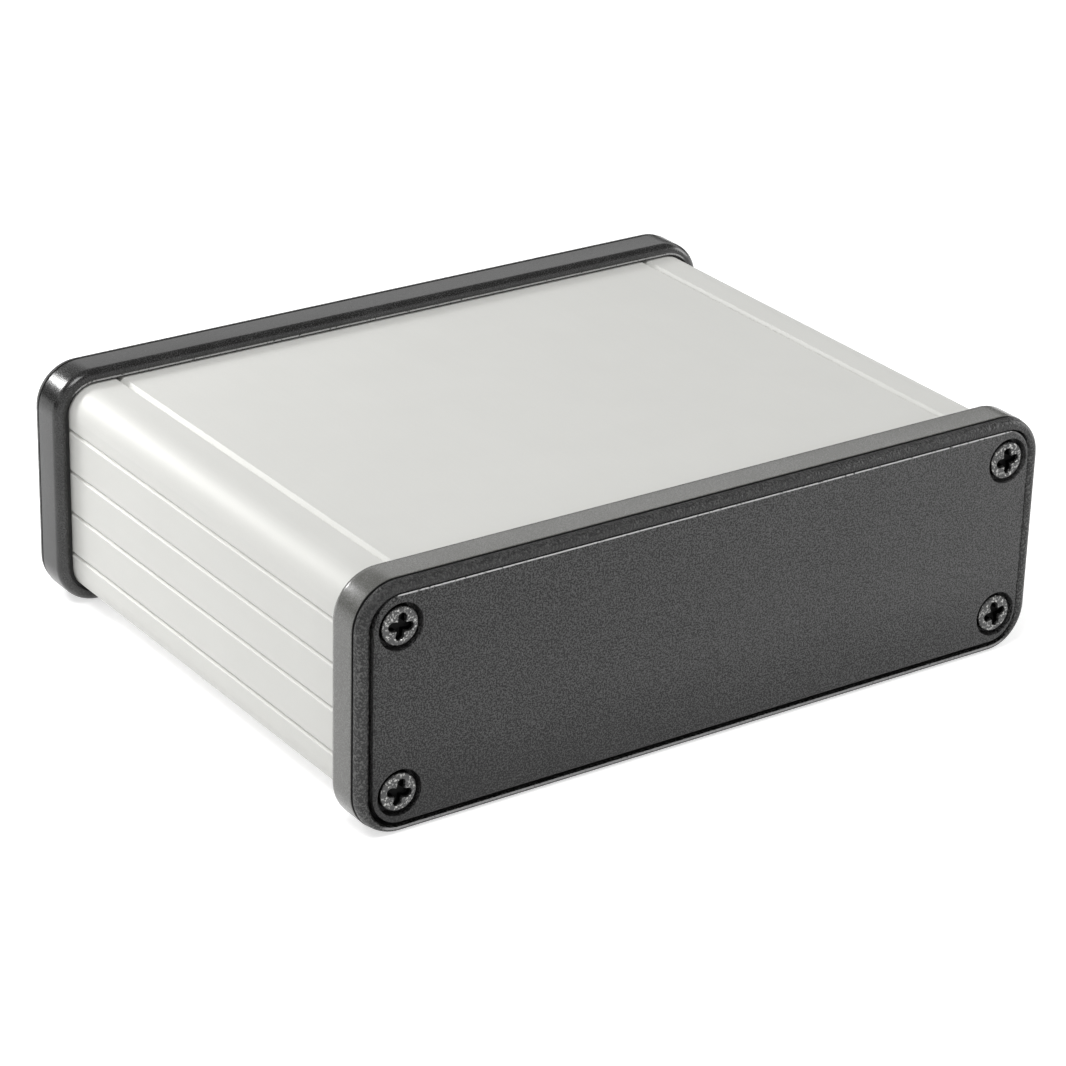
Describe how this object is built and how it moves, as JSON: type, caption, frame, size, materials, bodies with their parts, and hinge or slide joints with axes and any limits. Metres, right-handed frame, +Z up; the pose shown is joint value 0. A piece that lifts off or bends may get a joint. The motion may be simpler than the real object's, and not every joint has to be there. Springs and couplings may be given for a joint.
{
  "type": "extruded aluminium enclosure",
  "caption": "Slim extruded aluminium enclosure for a circuit board, with a cover plate that slides in along rails and dark moulded end caps screwed to both ends.",
  "frame": {"origin": "on the ground, in the middle of the base", "axes": "+X across the width, +Y from the front end to the rear end along the extrusion, +Z up"},
  "size_m": [0.1072, 0.0842, 0.0342],
  "materials": {
    "satin_aluminium": "clear anodised, fine satin",
    "frame_plastic": "dark grey moulding, smooth satin band and spark-textured shoulder",
    "panel_plastic": "dark grey, fine spark texture",
    "black_screw": "blackened steel, slightly rough"
  },
  "bodies": {
    "root": {"body_extrusion": "satin_aluminium", "cover_plate": "satin_aluminium", "front_frame": "frame_plastic", "rear_frame": "frame_plastic", "front_panel": "panel_plastic", "rear_panel": "panel_plastic", "front_screw_1": "black_screw", "front_screw_2": "black_screw", "front_screw_3": "black_screw", "front_screw_4": "black_screw", "rear_screw_1": "black_screw", "rear_screw_2": "black_screw", "rear_screw_3": "black_screw", "rear_screw_4": "black_screw"}
  },
  "joints": []
}
